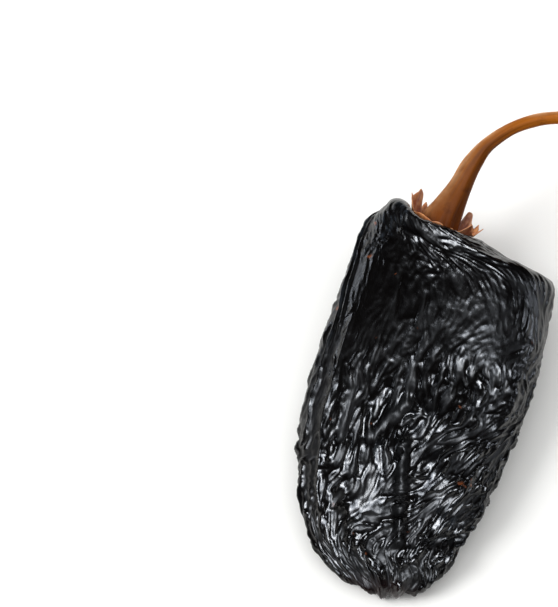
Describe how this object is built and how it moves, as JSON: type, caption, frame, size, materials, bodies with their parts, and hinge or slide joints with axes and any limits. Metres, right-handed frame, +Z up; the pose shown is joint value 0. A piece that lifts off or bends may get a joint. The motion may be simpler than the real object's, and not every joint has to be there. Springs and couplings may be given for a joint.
{
  "type": "dried chilli pepper",
  "caption": "Dried ancho-type chilli pepper: a flattened, wrinkled black pod with a toothed papery calyx and a curved woody stem, lying on its side.",
  "frame": {"origin": "the middle of the flattened patch on the pod's underside that it rests on", "axes": "+Z up from the surface it lies on, +Y along the pod from its tip to its stem, +X to the right seen from above, the side the stem curves to"},
  "size_m": [0.0778, 0.1392, 0.0332],
  "materials": {
    "dried_skin": "glossy, near-black, tightly wrinkled dried skin",
    "dried_calyx": "matt, red-brown, papery and curled",
    "dried_stem": "satin brown, with fine grain along its length"
  },
  "bodies": {
    "root": {"pod": "dried_skin", "calyx": "dried_calyx", "stem": "dried_stem"}
  },
  "joints": []
}
